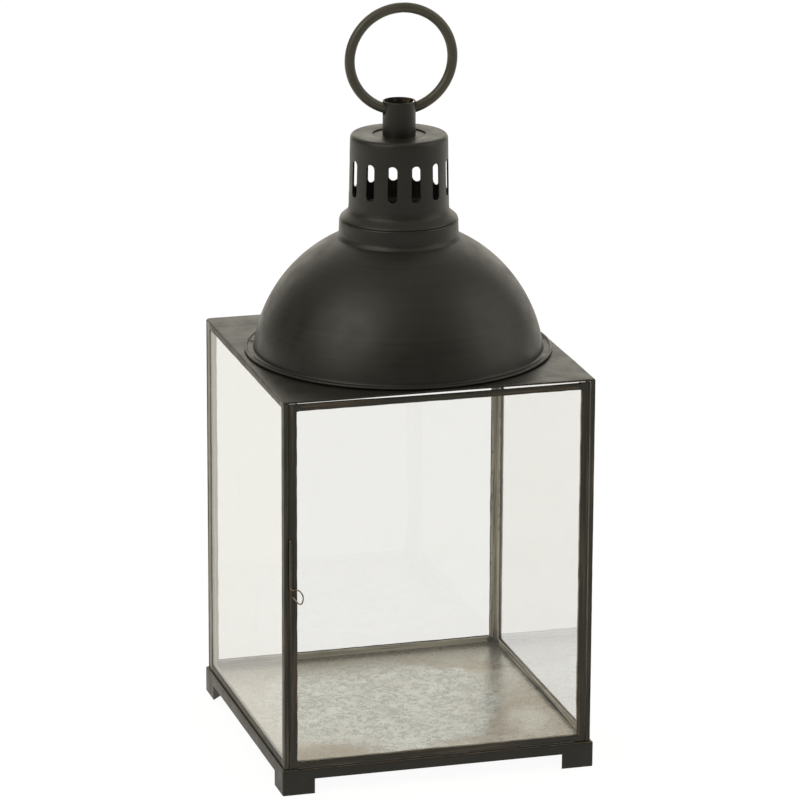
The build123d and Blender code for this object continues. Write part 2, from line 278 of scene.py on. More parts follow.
def spangled_zinc(name):
    """Galvanised sheet: feathery spangles in a bright disc, brown-grey staining outside it.

    Its left side is paler with a painted reflection, its front left corner browner with stain, and a band
    along its back darker with painted shade and a painted reflection of the back rail.
    """
    s = Shader(name)
    swirl = s.add("ShaderNodeTexNoise", Vector=s.place, Scale=60, Detail=4, Roughness=0.65)
    swirled = s.vector("SUBTRACT", swirl.outputs["Color"], (0.5, 0.5, 0.5))
    place = s.vector("ADD", s.place, s.vector("MULTIPLY", swirled, (0.016, 0.016, 0)))

    def fronds(size, along, across):
        """Crystals of a size, each streaked in its own direction: (streaks, tone)."""
        cell = s.add("ShaderNodeTexVoronoi", Vector=place, Scale=size)
        parts = s.add("ShaderNodeSeparateColor", Color=cell.outputs["Color"])
        turned = s.add("ShaderNodeVectorRotate", {"rotation_type": "Z_AXIS"}, Vector=place,
                       Angle=s.math("MULTIPLY", parts.outputs[0], 2 * pi))
        streaks = s.noise(1.0, 4, 0.65, vector=s.stretched(along, across, 1, turned.outputs[0]))
        return streaks, parts.outputs[1]

    coarse, coarse_tone = fronds(125, 70, 480)
    fine, fine_tone = fronds(270, 150, 900)
    grains = s.noise(430, 4, 0.7)
    tone = s.total(s.span(coarse, 0.36, 0.64, 0, 0.55, smooth=False),
                   s.span(fine, 0.36, 0.64, 0, 0.45, smooth=False),
                   s.math("MULTIPLY", coarse_tone, 0.35),
                   s.math("MULTIPLY", fine_tone, 0.50),
                   s.span(grains, 0.30, 0.70, 0.05, 0.50, smooth=False))
    bright = s.mix(s.span(tone, 0.75, 2.00), rgb(0.415, 0.440, 0.450), rgb(0.83, 0.87, 0.895))
    clouds = s.noise(15, 4, 0.6, 0.8)
    stain = s.mix(s.span(clouds, 0.43, 0.57), rgb(0.53, 0.535, 0.515), rgb(0.375, 0.335, 0.295))
    wisps = s.noise(1.0, 4, 0.6, 1.0, s.stretched(14, 30, 1))
    stain = s.mix(s.span(wisps, 0.50, 0.66, 0, 0.75), stain, rgb(0.57, 0.585, 0.57))
    stain = s.mix(s.span(tone, 0.95, 1.75, 0, 0.35), stain, rgb(0.65, 0.655, 0.63))
    centred = s.vector("ADD", s.place, (0.010, 0.002, 0))
    radius = s.vector("LENGTH", s.vector("MULTIPLY", centred, (1, 1, 0)), out="Value")
    edge = s.math("MULTIPLY", s.math("SUBTRACT", s.noise(24, 6, 0.7), 0.5), 0.060)
    ragged = s.total(radius, edge, s.math("MULTIPLY", fine_tone, 0.004))
    outside = s.span(ragged, 0.0830, 0.0885)
    blotches = s.span(s.noise(33, 4, 0.55, 0.6), 0.57, 0.72, 0, 0.35)
    disc = s.mix(blotches, bright, rgb(0.45, 0.435, 0.41))
    colour = s.mix(outside, disc, stain)
    spot = s.add("ShaderNodeSeparateXYZ", Vector=s.place)
    x, y = spot.outputs[0], spot.outputs[1]
    # Painted reflection: the floor's strip along the left wall is made paler.
    left = s.math("MULTIPLY", s.span(x, -0.055, -0.095, 0, 0.55), s.span(y, -0.085, -0.050))
    colour = s.mix(left, colour, rgb(0.68, 0.675, 0.64))
    corner = s.math("MULTIPLY", s.span(x, -0.015, -0.060, 0, 0.9), s.span(y, -0.050, -0.080))
    colour = s.mix(corner, colour, rgb(0.36, 0.32, 0.275))
    # Painted shade and a painted reflection of the back rail: a dark band along the back of the floor.
    colour = s.mix(s.span(y, 0.044, 0.090, 0, 0.85), colour, rgb(0.20, 0.188, 0.16))
    height = s.math("ADD", coarse, s.math("MULTIPLY", coarse_tone, 0.6))
    normal = s.bump(height, 0.00009, strength=0.5)
    normal = s.bump(s.noise(600, 3, 0.6), 0.00002, normal)
    gloss = s.span(tone, 0.8, 1.8, 0.26, 0.34)
    shader = s.add("ShaderNodeBsdfPrincipled", Base_Color=colour, Roughness=gloss, Normal=normal)
    shader.inputs["Metallic"].default_value = 0.55
    return s.finish(shader.outputs["BSDF"])


def drawn_wire(name):
    """Darkened wire with random pale patches, rubbed metal and painted highlight."""
    s = Shader(name)
    along = s.noise(1.0, 4, 0.6, vector=s.stretched(900, 900, 60))
    darkened, rubbed = rgb(0.13, 0.105, 0.075), rgb(0.42, 0.36, 0.28)
    # Pale patches: rubbed metal, and a painted highlight on the thin wire.
    colour = s.mix(s.span(s.noise(420, 4, 0.65), 0.40, 0.60), darkened, rubbed)
    normal = s.bump(along, 0.00001)
    gloss = s.span(along, 0.3, 0.7, 0.26, 0.42)
    shader = s.add("ShaderNodeBsdfPrincipled", Base_Color=colour, Roughness=gloss, Normal=normal)
    shader.inputs["Metallic"].default_value = 0.8
    return s.finish(shader.outputs["BSDF"])


SHEET_METAL = blackened("blackened_sheet", rough=0.37, tone=0.92)
SPUN_METAL = blackened("blackened_spun", spun=True, rough=0.37, tone=0.84)
CHANNEL_METAL = blackened("blackened_channel", drawn=True, rough=0.42, tone=1.8)
SOLDER_METAL = blackened("blackened_solder", rough=0.27, tone=1.8)
ROD_METAL = blackened("blackened_rod", rough=0.29, tone=4.5)
GLASS = pane_glass("pane_glass")
ZINC = spangled_zinc("spangled_zinc")
WIRE = drawn_wire("drawn_wire")


# ---- mesh helpers --------------------------------------------------------------------
def wobble(point, size, amount, seed=0.0):
    """Smooth deterministic unevenness at a point, in mm."""
    return amount * noise.noise(Vector(point) / size + Vector((seed, seed * 0.7, -seed)))


def loft(loops, wrap=False, caps=True):
    """Vertices and faces through equal loops of points; wrap joins the last to the first."""
    count = len(loops[0])
    verts = [Vector(p) for loop in loops for p in loop]
    faces = []
    rows = len(loops)
    for i in range(rows if wrap else rows - 1):
        a, b = i * count, (i + 1) % rows * count
        for j in range(count):
            k = (j + 1) % count
            faces.append((a + j, a + k, b + k, b + j))
    if caps and not wrap:
        faces.append(tuple(range(count))[::-1])
        faces.append(tuple(range((rows - 1) * count, rows * count)))
    return verts, faces


def make_mesh(name, verts, faces, wear=None, sharp=35, inner=None, lie=None):
    """A mesh from points in mm, normals outward, smooth apart from edges over sharp degrees.

    The metals read wear, how rubbed each point is, which on the tray's top fold and the roof's turned
    edge is also a painted highlight. The channels' metal also reads inner, how bare the sheet is there,
    with a painted highlight along the free edge where it is 1.8, and lie, the point's place along,
    across and through its bar.
    """
    mesh = bpy.data.meshes.new(name)
    mesh.from_pydata([v * MM for v in verts], [], faces)
    for label, values in (("wear", wear), ("inner", inner)):
        if values is not None:
            mesh.attributes.new(label, "FLOAT", "POINT").data.foreach_set("value", values)
    if lie is not None:
        mesh.attributes.new("lie", "FLOAT_VECTOR", "POINT").data.foreach_set("vector", lie)
    work = bmesh.new()
    work.from_mesh(mesh)
    bmesh.ops.recalc_face_normals(work, faces=work.faces)
    work.to_mesh(mesh)
    work.free()
    mesh.shade_smooth()
    mesh.set_sharp_from_angle(angle=radians(sharp))
    return mesh


def place(mesh, body, material, slot=METAL, stands_for=()):
    """Show a mesh as a piece that rides on a body."""
    piece = bpy.data.objects.new(mesh.name, mesh)
    scene.collection.objects.link(piece)
    mesh.materials.clear()
    mesh.materials.append(material)
    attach(piece, body)
    if stands_for:
        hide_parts(*stands_for)
    return piece


def arc(cx, cz, radius, start, end, steps):
    """Points (r, z) on an arc, from start to end degrees, measured from +r towards +z."""
    turns = [radians(start + (end - start) * k / steps) for k in range(steps + 1)]
    return [(cx + radius * cos(t), cz + radius * sin(t)) for t in turns]


def revolved(outline, segments, uneven=0.0, size=30.0, seed=0.0):
    """Closed (r, z, wear) outline turned about the dome's axis, with a slight radial unevenness."""
    loops, wear = [], []
    for r, z, worn in outline:
        loop = []
        for k in range(segments):
            turn = 2 * pi * k / segments
            x, y = r * cos(turn), r * sin(turn)
            push = wobble((x, y, z), size, uneven, seed) if uneven else 0.0
            loop.append((TOP_X + x + push * cos(turn), y + push * sin(turn), z))
        loops.append(loop)
        wear += [worn] * segments
    verts, faces = loft(loops, wrap=True)
    return verts, faces, wear


def cut(mesh, cutters, sharp=32):
    """The mesh with each cutter mesh taken out of it exactly."""
    name = mesh.name
    body = bpy.data.objects.new("cutting", mesh)
    scene.collection.objects.link(body)
    tools = []
    for cutter in cutters:
        tool = bpy.data.objects.new("tool", cutter)
        scene.collection.objects.link(tool)
        tools.append(tool)
        step = body.modifiers.new("cut", "BOOLEAN")
        step.operation = "DIFFERENCE"
        step.solver = "EXACT"
        step.object = tool
    bpy.context.view_layer.update()
    result = bpy.data.meshes.new_from_object(body.evaluated_get(bpy.context.evaluated_depsgraph_get()))
    for used in [body, *tools]:
        bpy.data.objects.remove(used)
    bpy.data.meshes.remove(mesh)
    result.name = name
    result.shade_smooth()
    result.set_sharp_from_angle(angle=radians(sharp))
    return result


# ---- dome, collar and chimney --------------------------------------------------------
def sphere_z(radius, r):
    return DOME_CENTRE + sqrt(radius**2 - r**2)


def build_dome():
    """Spun dome with its flange and rolled bead, slightly uneven as spun sheet is."""
    inner = DOME_R - DOME_SHEET
    flange_top = ROOF_TOP + DOME_SHEET
    bead = 1.0
    bead_r = radius_mm(DOME_LOW, DOME_HIGH) - bead
    low_angle = degrees(atan2(flange_top + 1.1 - DOME_CENTRE, DOME_R))
    mouth_angle = degrees(atan2(sphere_z(DOME_R, DOME_MOUTH) - DOME_CENTRE, DOME_MOUTH))
    outer = arc(0, DOME_CENTRE, DOME_R, mouth_angle, low_angle, 74)
    foot_r, foot_z = outer[-1]
    toe = [(foot_r + 0.25, foot_z - 0.55),
           (foot_r + 0.75, flange_top + 0.12),
           (foot_r + 1.5, flange_top)]
    rim = arc(bead_r, ROOF_TOP + bead, bead, 170, -90, 14)
    bottom = [(bead_r - 1.5, ROOF_TOP), (inner + 0.2, ROOF_TOP)]
    inner_angle = degrees(atan2(ROOF_TOP - DOME_CENTRE, inner))
    inside = arc(0, DOME_CENTRE, inner, inner_angle + 0.5, mouth_angle - 0.4, 40)
    outline = [(r, z, 0.0) for r, z in outer + toe]
    outline += [(r, z, 0.22) for r, z in rim]
    outline += [(r, z, 0.0) for r, z in bottom + inside]
    mesh = make_mesh("spun_dome", *revolved(outline, 288, uneven=0.10, size=34.0, seed=3.0), sharp=60)
    place(mesh, "lantern", SPUN_METAL, stands_for=["dome"])


def build_collar():
    """Collar on the dome, with the groove below the chimney's foot."""
    r0, top = radius_mm(COLLAR_LOW, COLLAR_HIGH), COLLAR_HIGH.z
    r1 = r0 - 0.3
    foot = sphere_z(DOME_R, r0)
    flare = [(r0 + 1.9, sphere_z(DOME_R, r0 + 1.9) - 0.25, 0.0), (r0 + 1.0, foot + 0.05, 0.12),
             (r0 + 0.45, foot + 0.75, 0.12), (r0 + 0.12, foot + 1.7, 0.0), (r0, foot + 2.8, 0.0)]
    wall = [(r1 + 0.1, top - 5, 0.0), (r1, top - 1.2, 0.0)]
    lip = [(r1 - 0.06, top - 0.75, 0.1), (r1 - 0.28, top - 0.35, 0.2), (r1 - 0.55, top - 0.12, 0.0),
           (r1 - 1.0, top, 0.0), (r1 - 1.3, top - 0.2, 0.0)]
    inside = [(r0 - 1.3, foot - 0.4, 0.0)]
    outline = flare + wall + lip + inside
    mesh = make_mesh("collar", *revolved(outline, 192, uneven=0.05, size=22.0, seed=5.0), sharp=40)
    place(mesh, "lantern", SPUN_METAL, stands_for=["dome_collar"])


def slot_cutter(turn, z, width, height):
    """Upright round-ended slot that cuts through one side of the chimney."""
    half, rise = width / 2, (height - width) / 2
    outline = [(half * cos(radians(a)), rise * (1 if a < 180 else -1) + half * sin(radians(a)))
               for a in list(range(0, 181, 12)) + list(range(180, 361, 12))]
    loops = []
    for reach in (20.0, 45.0):
        loop = []
        for across, up in outline:
            x, y = reach, across
            loop.append((TOP_X + x * cos(turn) - y * sin(turn), x * sin(turn) + y * cos(turn), z + up))
        loops.append(loop)
    return make_mesh("slot", *loft(loops))


def build_chimney():
    """Chimney of spun sheet with a stepped shoulder, punched vents and an open top."""
    foot, top = CHIMNEY_LOW.z, CHIMNEY_HIGH.z
    foot_r, low_r, top_r = radius_mm(CHIMNEY_LOW, CHIMNEY_HIGH), CHIMNEY_LOW_R, CHIMNEY_TOP_R
    mouth, sheet = CHIMNEY_MOUTH, CHIMNEY_SHEET
    outline = [(foot_r - 0.9, foot, 0.0), (foot_r - 0.3, foot + 0.12, 0.15),
               (foot_r - 0.05, foot + 0.45, 0.15), (foot_r - 0.25, foot + 0.85, 0.0),
               (foot_r - 0.75, foot + 1.4, 0.0), (foot_r - 1.4, foot + 2.0, 0.0)]
    outline += [(low_r + 2.9, SHOULDER - 2.55, 0.0), (low_r + 1.7, SHOULDER - 1.5, 0.0),
                (low_r + 0.85, SHOULDER - 0.65, 0.0), (low_r + 0.4, SHOULDER - 0.1, 0.0),
                (low_r + 0.12, SHOULDER + 0.5, 0.0)]
    steps = 12
    for k in range(1, steps + 1):
        z = SHOULDER + 0.5 + (top - 3.1 - SHOULDER) * k / steps
        outline.append((low_r + (top_r - low_r) * (z - SHOULDER) / (top - SHOULDER), z, 0.0))
    rim = arc(top_r - CHIMNEY_BEND, top - CHIMNEY_BEND, CHIMNEY_BEND, 8, 88, 9)
    outline += [(r, z, 0.0) for r, z in rim]
    outline += [(24.0, top - 0.03, 0.0), (mouth + 0.5, top - 0.02, 0.0), (mouth, top - 0.25, 0.2),
                (mouth, top - sheet, 0.0), (24.0, top - sheet, 0.0)]
    inner_rim = arc(top_r - sheet - 2.0, top - sheet - 2.0, 2.0, 85, 5, 5)
    outline += [(r, z, 0.0) for r, z in inner_rim]
    outline += [(low_r - sheet, SHOULDER - 0.3, 0.0), (low_r + 1.0, SHOULDER - 2.4, 0.0),
                (foot_r - sheet - 0.4, foot, 0.0)]
    mesh = make_mesh("vented_chimney", *revolved(outline, 216, uneven=0.05, size=26.0, seed=8.0), sharp=50)
    turns = [radians(FIRST_VENT + 360 * k / VENTS) for k in range(VENTS)]
    cutters = [slot_cutter(turn, VENT_MIDDLE, VENT_WIDTH, VENT_HEIGHT) for turn in turns]
    place(cut(mesh, cutters), "lantern", SPUN_METAL, stands_for=["chimney"])


def build_disc():
    """Disc under the chimney's mouth, which carries the hanger tube."""
    r, low, top = radius_mm(DISC_LOW, DISC_HIGH), DISC_LOW.z, DISC_HIGH.z
    bore = 9.0
    outline = [(r, low + 0.2, 0.0), (r - 0.1, top - 0.2, 0.0), (r - 0.4, top - 0.02, 0.0),
               (15.0, top - 0.05, 0.0), (12.6, top, 0.0), (bore, top, 0.0), (bore, low, 0.0),
               (r - 0.3, low, 0.0)]
    mesh = make_mesh("hanger_plate", *revolved(outline, 96, uneven=0.08, size=9.0, seed=2.0), sharp=40)
    place(mesh, "lantern", SPUN_METAL, stands_for=["hanger_disc"])


def build_tube():
    """Hanger tube with a softened mouth and the two holes for the ring."""
    r, low, top = radius_mm(TUBE_LOW, TUBE_HIGH), TUBE_LOW.z, TUBE_HIGH.z
    bore = r - TUBE_SHEET
    outline = [(r - 0.02, low, 0.0), (r - 0.05, low + 6, 0.0), (r - 0.08, low + 12, 0.0),
               (r - 0.05, top - 2.5, 0.0), (r, top - 0.6, 0.1), (r - 0.12, top - 0.18, 0.3),
               (r - 0.4, top - 0.02, 0.34), (r - 0.75, top - 0.06, 0.2), (bore, top - 0.4, 0.42),
               (bore, low + 8, 0.42), (bore, low, 0.42)]
    mesh = make_mesh("hanger_pipe", *revolved(outline, 96, uneven=0.06, size=7.0, seed=6.0), sharp=40)
    turns = [2 * pi * k / 40 for k in range(40)]
    loops = [[(TOP_X + reach, RING_HOLE * cos(a), RING_PIVOT + RING_HOLE * sin(a)) for a in turns]
             for reach in (-16.0, 16.0)]
    hole = make_mesh("hole", *loft(loops))
    place(cut(mesh, [hole]), "lantern", SPUN_METAL, stands_for=["hanger_tube"])


def build_ring():
    """Round rod bent into a slightly flattened ring, with its closed joint at the top."""
    wall_r = radius_mm(TUBE_LOW, TUBE_HIGH) - TUBE_SHEET / 2
    rise = RING_UP * sqrt(1 - (wall_r / RING_ACROSS) ** 2)
    lean = Matrix.Rotation(radians(RING_LEAN), 3, "Y")
    loops, wear = [], []
    for i in range(180):
        a = 2 * pi * i / 180
        joint = max(0.0, 1 - abs(degrees(a) - 90) / 3.0)
        centre = Vector((RING_SHIFT + RING_ACROSS * cos(a), 0, rise + RING_UP * sin(a)))
        out = Vector((cos(a) / RING_ACROSS, 0, sin(a) / RING_UP)).normalized()
        loop = []
        for j in range(24):
            b = 2 * pi * j / 24
            dents = wobble((60 * cos(a), 60 * sin(a), 4 * b), 18.0, 0.05)
            radius = RING_ROD - 0.05 + dents - 0.10 * joint
            spot = centre + out * (radius * cos(b)) + Vector((0, radius * sin(b), 0))
            loop.append(Vector((TOP_X, 0, RING_PIVOT)) + lean @ spot)
            wear.append(0.34 if cos(b) < -0.5 and sin(a) > -0.6 else 0.16)
        loops.append(loop)
    verts, faces = loft(loops, wrap=True)
    mesh = make_mesh("carrying_ring", verts, faces, wear, sharp=60)
    place(mesh, "ring", ROD_METAL, stands_for=["hanging_ring"])


# ---- roof, tray and feet -------------------------------------------------------------
def square_outline(half, corner, per_side=30, per_corner=6):
    """Points round a square with rounded corners, with their outward directions."""
    run = half - corner
    quarter = [(half, -run + 2 * run * k / per_side, 1.0, 0.0) for k in range(per_side)]
    for k in range(per_corner):
        bend = pi / 2 * k / per_corner
        nx, ny = cos(bend), sin(bend)
        quarter.append((run + corner * nx, run + corner * ny, nx, ny))
    points = []
    for turn in range(4):
        c, s = cos(turn * pi / 2), sin(turn * pi / 2)
        for x, y, nx, ny in quarter:
            spot = Vector((x * c - y * s, x * s + y * c, 0))
            points.append((spot, Vector((nx * c - ny * s, nx * s + ny * c, 0))))
    return points


def sheet_push(point):
    """How far hand-folded sheet lies inside its true plane at a point, in mm."""
    return -0.08 + wobble(point, 24.0, 0.07, 4.0) + wobble(point, 7.0, 0.02, 9.0)


def front_droop(point):
    """How far the roof's front edge sags towards the door near its two ends, in mm."""
    share = min(1.0, max(0.0, (-point.y - 50) / 50))
    aside = min(1.0, (abs(point.x - BOW_MIDDLE) / 85) ** 2)
    return ROOF_DROOP * aside * share**2 * (3 - 2 * share)


def build_roof():
    """Square roof sheet, its edge turned over, with the hole under the dome.

    The small hole for the upper hinge pin is left out, so the pin stands in solid sheet.
    """
    low, top = ROOF_LOW.z, ROOF_TOP
    edge = (top - low) / 2
    outline = square_outline(ROOF_HIGH.x, ROOF_CORNER, 36, 8)

    def across(point, out, share):
        """A place on the sheet, from the hole's edge at share 0 to the turned edge at 1."""
        inner = point.normalized() * ROOF_HOLE + Vector((TOP_X, 0, 0))
        return inner.lerp(point - out * edge, share)

    loops, wear = [], []
    for share in (0.0, 0.35, 0.75, 1.0):
        dip = 0.14 * share * (1 - share) * 4
        loop = []
        for point, out in outline:
            p = across(point, out, share)
            lift = top - 0.02 + wobble(p, 26.0, dip, 1.0) - dip - front_droop(point) * share
            loop.append(p + Vector((0, 0, lift)))
        loops.append(loop)
        wear += [0.0] * len(outline)
    for r, z in arc(0, (low + top) / 2, edge, 90, -90, 8)[1:-1]:
        loop = []
        for point, out in outline:
            inset = edge - r - wobble(point, 19.0, 0.06, 7.0) + 0.06
            loop.append(point - out * inset + Vector((0, 0, z - front_droop(point))))
        loops.append(loop)
        # On the turned edge, wear is rubbed metal and also a painted highlight along the roof's edge.
        wear += [0.32] * len(outline)
    for share in (1.0, 0.0):
        loops.append([across(point, out, share) + Vector((0, 0, low - share * front_droop(point)))
                      for point, out in outline])
        wear += [0.0] * len(outline)
    verts, faces = loft(loops, wrap=True)
    mesh = make_mesh("roof_sheet", verts, faces, wear, sharp=40)
    place(mesh, "lantern", SHEET_METAL, stands_for=["roof_plate"])


def build_tray():
    """Folded tray with a softly bent top edge, open underneath.

    The small hole for the lower hinge pin is left out, here and in the foot below it.
    """
    half, sheet, bend = TRAY_HIGH.x, TRAY_SHEET, 0.9
    outline = square_outline(half, SKIRT_BEND, 60, 5)
    section = [(60.0, TRAY_TOP, 0.0), (8.0, TRAY_TOP, 0.0), (2.6, TRAY_TOP - 0.02, 0.0)]
    folds = arc(0, TRAY_TOP - bend, bend, 88, 4, 6)
    # The top fold's wear is rubbed metal and also a painted highlight along the tray's top edge.
    section += [(bend - r, z, 0.58 if 2 <= k <= 3 else 0.30) for k, (r, z) in enumerate(folds)]
    section += [(0.0, 14.4, 0.0), (0.0, 12.2, 0.0), (0.0, SKIRT_LOW + 0.5, 0.1), (0.0, SKIRT_LOW, 0.38),
                (sheet, SKIRT_LOW, 0.2), (sheet, TRAY_TOP - sheet, 0.0), (60.0, TRAY_TOP - sheet, 0.0)]
    loops, wear = [], []
    for offset, z, worn in section:
        loop = []
        for point, out in outline:
            p = point * (1 - offset / half) + Vector((0, 0, z))
            loop.append(p + out * sheet_push(p) if offset < 2 else p)
        loops.append(loop)
        wear += [worn] * len(outline)
    verts, faces = loft(loops)
    mesh = make_mesh("folded_tray", verts, faces, wear, sharp=40)
    place(mesh, "lantern", SHEET_METAL, stands_for=["base_tray"])


def build_foot(name, sx, sy):
    """Folded corner foot, flush with the tray's skirt, its slanting wall inside."""
    half, leg, bend, tab = TRAY_HIGH.x, FOOT_LEG, SKIRT_BEND, 1.0
    end = half - leg
    bends = [pi / 2 * k / 5 for k in range(6)]
    corner = [(end, half, 0, 1), (end + 0.7, half, 0, 1)]
    corner += [(end + (leg - bend) * k / 8, half, 0, 1) for k in range(1, 8)]
    corner += [(half - bend + bend * sin(a), half - bend + bend * cos(a), sin(a), cos(a)) for a in bends]
    corner += [(half, half - bend - (leg - bend) * k / 8, 1, 0) for k in range(1, 8)]
    corner += [(half, end + 0.7, 1, 0), (half, end, 1, 0)]
    corner += [(half - leg * k / 4, end + leg * k / 4, 0, 0) for k in range(1, 4)]
    rows = [(0.0, 0.35, 0.3), (0.12, 0.08, 0.42), (0.45, 0.0, 0.42), (2.2, 0.0, 0.0), (5.0, 0.0, 0.0),
            (8.0, 0.0, 0.0), (SKIRT_LOW, 0.0, 0.0), (SKIRT_LOW, tab, 0.0), (TRAY_TOP - 0.9, tab, 0.0)]
    loops, wear = [], []
    for z, inset, worn in rows:
        loop = []
        for x, y, nx, ny in corner:
            p = Vector((x * sx, y * sy, z))
            push = sheet_push(p) if inset < tab else 0.0
            loop.append(p + Vector((nx * sx, ny * sy, 0)) * (push - inset))
        if sx * sy < 0:
            loop.reverse()
        loops.append(loop)
        wear += [worn] * len(corner)
    verts, faces = loft(loops)
    mesh = make_mesh(f"folded_{name}", verts, faces, wear, sharp=40)
    place(mesh, "lantern", SHEET_METAL, stands_for=[name])


# ---- channels and solder -------------------------------------------------------------
# Each channel's axis across its width, and the side of it where the web lies.
WEB_SIDE = {"bottom_channel": (2, -1), "top_channel": (2, 1), "front_channel": (1, -1),
            "back_channel": (1, 1), "left_channel": (0, -1), "right_channel": (0, 1),
            "latch_channel": (0, -1), "hinge_channel": (0, 1)}
GLASS_HALF = 1.0
WEB = 0.5


def channel_section(width, half):
    """Closed U outline of (distance from the web's face, across, wear)."""
    bend = 0.55

    def corner(first, side):
        turns = [radians(first + 18 * k) for k in range(6)]
        return [(bend + bend * cos(a), side * (half - bend) + bend * sin(a), 0.12) for a in turns]

    points = [(width - 0.18, half - 0.05, 0.32), (width - 0.7, half, 0.22), (width * 0.55, half, 0.0)]
    points += corner(90, 1) + corner(180, -1)
    points += [(width * 0.55, -half, 0.0), (width - 0.7, -half, 0.22), (width - 0.18, -half + 0.05, 0.32)]
    points += [(width, -half + 0.25, 0.32), (width, -GLASS_HALF, 0.0), (WEB, -GLASS_HALF, 0.0)]
    points += [(WEB, GLASS_HALF, 0.0), (width, GLASS_HALF, 0.0), (width, half - 0.25, 0.32)]
    return points


def door_rail_sag(x):
    """How far the door's bowed top rail lies under its straight top at a place along it, in mm."""
    return DOOR_BOW * max(0.0, 1 - ((x - BOW_MIDDLE) / BOW_HALF) ** 2) ** 0.5


def build_channel(node, body):
    """Hand-soldered U-channel: straight overall, its faces and edges slightly wavy."""
    low, high = box_mm(node)
    size = high - low
    along = max(range(3), key=lambda axis: size[axis])
    width_axis, side = next(WEB_SIDE[kind] for kind in WEB_SIDE if node.endswith(kind))
    thick_axis = 3 - along - width_axis
    width, half = size[width_axis], size[thick_axis] / 2
    middle = (low[thick_axis] + high[thick_axis]) / 2
    base = high[width_axis] if side > 0 else low[width_axis]
    count = int(ceil(size[along] / 2.6))
    seed = 1.7 * sum(ord(c) for c in node) % 50
    inward = -1 if middle > 0 else 1
    # The back left upright also has part of the bare, paler colour on its outer face.
    bare = 0.35 if node == "left_panel_back_channel" else 0.0
    loops, wear, inner, lie = [], [], [], []
    for i in range(count + 1):
        s = low[along] + size[along] * i / count
        swell = 1 + wobble((s, 0, 0), 13.0, 0.02, seed)
        sway = wobble((s, 9, 0), 31.0, 0.10, seed) * 0.2
        rubbed = 0.1 if noise.noise(Vector((s / 30, seed, 0))) > 0.1 else 0
        loop = []
        for across, thick, worn in channel_section(width, half):
            edge = across / width
            on_face = abs(thick) > 1.1
            ripple = wobble((s, across, thick * 2), 5.5, 0.07, seed) if on_face or across < 1 else 0
            grow = edge * wobble((s, 30, 0), 9.0, 0.24, seed) if edge > 0.6 else 0
            sag = (1 - edge) * door_rail_sag(s) if node == "door_top_channel" else 0.0
            p = Vector((0, 0, 0))
            p[along] = s
            p[width_axis] = base - side * max(0.0, across - 0.04 * edge + grow + sag)
            p[thick_axis] = middle + thick * swell + sway
            if on_face:
                p[thick_axis] += ripple - 0.02 if thick > 0 else 0.02 - ripple
            loop.append(p)
            wear.append(worn + rubbed)
            if thick * inward > -0.2 and across > 0.3:
                # Points near the free edge of the inner face get 1.8, which paints a highlight along that
                # edge.
                inner.append(1.8 if across > width - 0.7 else 1.0)
            else:
                inner.append(bare)
            lie += [(s + 37 * seed) * MM, across * MM, thick * MM]
        loops.append(loop)
    verts, faces = loft(loops)
    mesh = make_mesh(f"{node}_bar", verts, faces, wear, sharp=48, inner=inner, lie=lie)
    place(mesh, body, CHANNEL_METAL, stands_for=[node])


def blob(centre, normal, across, radius, length, height, seed):
    """Lens of solder lying on a face: closed, lumpy, longer along the across direction."""
    n, u = Vector(normal), Vector(across)
    v = n.cross(u)
    profile = [(0.05, -0.45), (0.6, -0.35), (0.95, -0.1), (1.0, 0.0), (0.93, 0.32), (0.75, 0.62),
               (0.48, 0.86), (0.2, 0.98), (0.04, 1.0)]
    loops = []
    for share, rise in profile:
        loop = []
        for k in range(20):
            a = 2 * pi * k / 20
            spread = 1 + 0.22 * noise.noise(Vector((cos(a) * 1.3 + seed, sin(a) * 1.3, seed * 0.3)))
            lift = rise * height * (1 + 0.2 * noise.noise(Vector((share * 2, a, seed))))
            along_u, along_v = share * length * spread * cos(a), share * radius * spread * sin(a)
            loop.append(Vector(centre) + u * along_u + v * along_v + n * lift)
        loops.append(loop)
    return loft(loops)


def solder_mesh(name, blobs, seeds, worn):
    """One mesh of several lenses of solder."""
    verts, faces = [], []
    for args, seed in zip(blobs, seeds):
        more, quads = blob(*args, seed=seed)
        start = len(verts)
        verts += more
        faces += [tuple(i + start for i in quad) for quad in quads]
    return make_mesh(name, verts, faces, [worn] * len(verts), sharp=70)


def build_solder(name, body, blobs):
    """Several lenses of solder as one piece, each a little different."""
    seeds = [3.1 * k + 1.0 for k in range(len(blobs))]
    place(solder_mesh(name, blobs, seeds, 0.12), body, SOLDER_METAL)


def panel_solder(name, body, normal):
    """Solder at a panel's four corners, flat on its outer face and fuller on its inner face."""
    rails = [box_mm(f"{name}_{end}_channel") for end in ("bottom", "top")]
    outward = Vector(normal)
    face = 0 if outward.x else 1
    flat = 1 - face
    run = Vector((face, flat, 0))
    blobs = []
    for facing, height in ((outward, 0.20), (-outward, 0.40)):
        level = rails[0][1][face] - 0.1 if facing[face] > 0 else rails[0][0][face] + 0.1
        for low, high in rails:
            for end in (low, high):
                centre = Vector((0, 0, (low.z + high.z) / 2))
                centre[flat] = end[flat]
                centre[face] = level
                blobs.append((centre, facing, run, 2.2, 2.7, height))
    build_solder(f"{name}_solder", body, blobs)


def build_panels():
    """Every channel of the three fixed walls and the door, and the solder at their corners."""
    for node in frame["nodes"]:
        if node.endswith("_channel"):
            build_channel(node, "door" if node.startswith("door") else "lantern")
    panel_solder("left_panel", "lantern", (-1, 0, 0))
    panel_solder("right_panel", "lantern", (1, 0, 0))
    panel_solder("back_panel", "lantern", (0, 1, 0))
    panel_solder("door", "door", (0, -1, 0))


